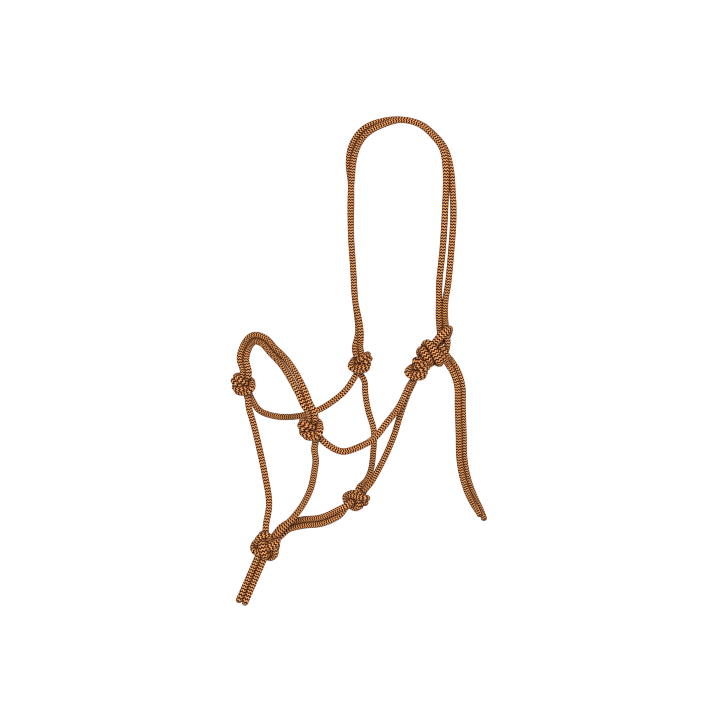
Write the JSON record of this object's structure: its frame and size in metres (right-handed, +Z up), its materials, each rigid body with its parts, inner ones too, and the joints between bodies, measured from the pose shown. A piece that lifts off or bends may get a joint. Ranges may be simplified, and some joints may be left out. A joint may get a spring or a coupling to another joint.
{
  "type": "rope halter",
  "caption": "Horse head halter tied from one braided rope, with knotted noseband, cheek, jaw and throat lines, tied crown and a hanging lead loop.",
  "frame": {"origin": "centre of the lead loop eye under the fiador knot", "axes": "+Z up towards the crown, -X towards the horse's nose, -Y the near side where the crown is tied"},
  "size_m": [0.3604, 0.1658, 0.5833],
  "materials": {
    "braided_rope": "tight round braid, orange and black zigzag",
    "sealed_tip": "melted rope end, dark"
  },
  "bodies": {
    "knots": {"nose_knot_far": "braided_rope", "nose_knot_near": "braided_rope", "cheek_knot_far": "braided_rope", "cheek_knot_near": "braided_rope", "throat_knot": "braided_rope", "fiador_knot": "braided_rope"},
    "noseband": {"noseband_front_strand": "braided_rope", "noseband_rear_strand": "braided_rope"},
    "crown": {"crown_front_strand": "braided_rope", "crown_rear_strand": "braided_rope", "sheet_bend": "braided_rope", "tie_loop": "braided_rope"},
    "lead_loop": {"lead_loop_left": "braided_rope", "lead_loop_right": "braided_rope"},
    "chin_run": {"chin_strand_upper": "braided_rope", "chin_strand_lower": "braided_rope"},
    "cheek_run_far": {"cheek_strand_far": "braided_rope"},
    "cheek_run_near": {"cheek_strand_near": "braided_rope"},
    "jaw_run_far": {"jaw_strand_far": "braided_rope"},
    "jaw_run_near": {"jaw_strand_near": "braided_rope"},
    "throat_run_far": {"throat_strand_far": "braided_rope"},
    "throat_run_near": {"throat_strand_near": "braided_rope"},
    "tail_top": {"tail_top_long_strand": "braided_rope", "tail_top_short_strand": "braided_rope"},
    "tail_middle": {"tail_middle_long_strand": "braided_rope", "tail_middle_short_strand": "braided_rope"},
    "tail_end": {"tail_end_long_strand": "braided_rope", "tail_end_short_strand": "braided_rope", "sealed_end_long": "sealed_tip", "sealed_end_short": "sealed_tip"}
  },
  "joints": [
    {"name": "noseband_tilt", "type": "hinge", "parent": "knots", "child": "noseband", "pos_m": [0.0535, 0, 0.2365], "axis": [-0.0073, 0.983, 0.1834], "range_deg": [-35, 35], "stiffness_Nm_per_rad": 0.02},
    {"name": "crown_swing", "type": "hinge", "parent": "knots", "child": "crown", "pos_m": [0.2345, 0, 0.2545], "axis": [0.009, 0.993, -0.1174], "range_deg": [-30, 30], "stiffness_Nm_per_rad": 0.3},
    {"name": "cheek_far_swing", "type": "hinge", "parent": "knots", "child": "cheek_run_far", "pos_m": [0.06411, 0.06902, 0.23385], "axis": [0.9971, -0.0736, -0.0175], "range_deg": [-25, 25], "stiffness_Nm_per_rad": 0.02},
    {"name": "cheek_near_swing", "type": "hinge", "parent": "knots", "child": "cheek_run_near", "pos_m": [0.06628, -0.06802, 0.20967], "axis": [0.9694, 0.0629, 0.2373], "range_deg": [-25, 25], "stiffness_Nm_per_rad": 0.02},
    {"name": "jaw_far_swing", "type": "hinge", "parent": "knots", "child": "jaw_run_far", "pos_m": [0.05351, 0.0629, 0.23056], "axis": [-0.0859, -0.3424, -0.9356], "range_deg": [-20, 20], "stiffness_Nm_per_rad": 0.02},
    {"name": "jaw_near_swing", "type": "hinge", "parent": "knots", "child": "jaw_run_near", "pos_m": [0.05298, -0.06291, 0.20558], "axis": [-0.0546, 0.3675, -0.9284], "range_deg": [-20, 20], "stiffness_Nm_per_rad": 0.02},
    {"name": "throat_far_swing", "type": "hinge", "parent": "knots", "child": "throat_run_far", "pos_m": [0.24304, 0.054, 0.23092], "axis": [-0.3205, -0.3121, -0.8943], "range_deg": [-20, 20], "stiffness_Nm_per_rad": 0.02},
    {"name": "throat_near_swing", "type": "hinge", "parent": "knots", "child": "throat_run_near", "pos_m": [0.22888, -0.05193, 0.24307], "axis": [-0.2255, 0.288, -0.9307], "range_deg": [-20, 20], "stiffness_Nm_per_rad": 0.02},
    {"name": "chin_swing", "type": "hinge", "parent": "knots", "child": "chin_run", "pos_m": [0.16248, 0, 0.07738], "axis": [-0.9963, 0, -0.0858], "range_deg": [-35, 35], "stiffness_Nm_per_rad": 0.02},
    {"name": "lead_loop_swing", "type": "hinge", "parent": "knots", "child": "lead_loop", "pos_m": [0.035, 0, 0.058], "axis": [0, -1, 0], "range_deg": [-20, 45], "stiffness_Nm_per_rad": 0.03},
    {"name": "tail_swing", "type": "hinge", "parent": "crown", "child": "tail_top", "pos_m": [0.276, -0.06, 0.276], "axis": [0, 1, 0], "range_deg": [-25, 15], "stiffness_Nm_per_rad": 0.02},
    {"name": "tail_bend_upper", "type": "hinge", "parent": "tail_top", "child": "tail_middle", "pos_m": [0.2925, -0.074, 0.206], "axis": [-0.774, 0.6313, -0.0487], "range_deg": [-40, 40], "stiffness_Nm_per_rad": 0.01},
    {"name": "tail_bend_lower", "type": "hinge", "parent": "tail_middle", "child": "tail_end", "pos_m": [0.302, -0.075, 0.109], "axis": [-0.7834, 0.5664, -0.256], "range_deg": [-40, 40], "stiffness_Nm_per_rad": 0.008}
  ]
}
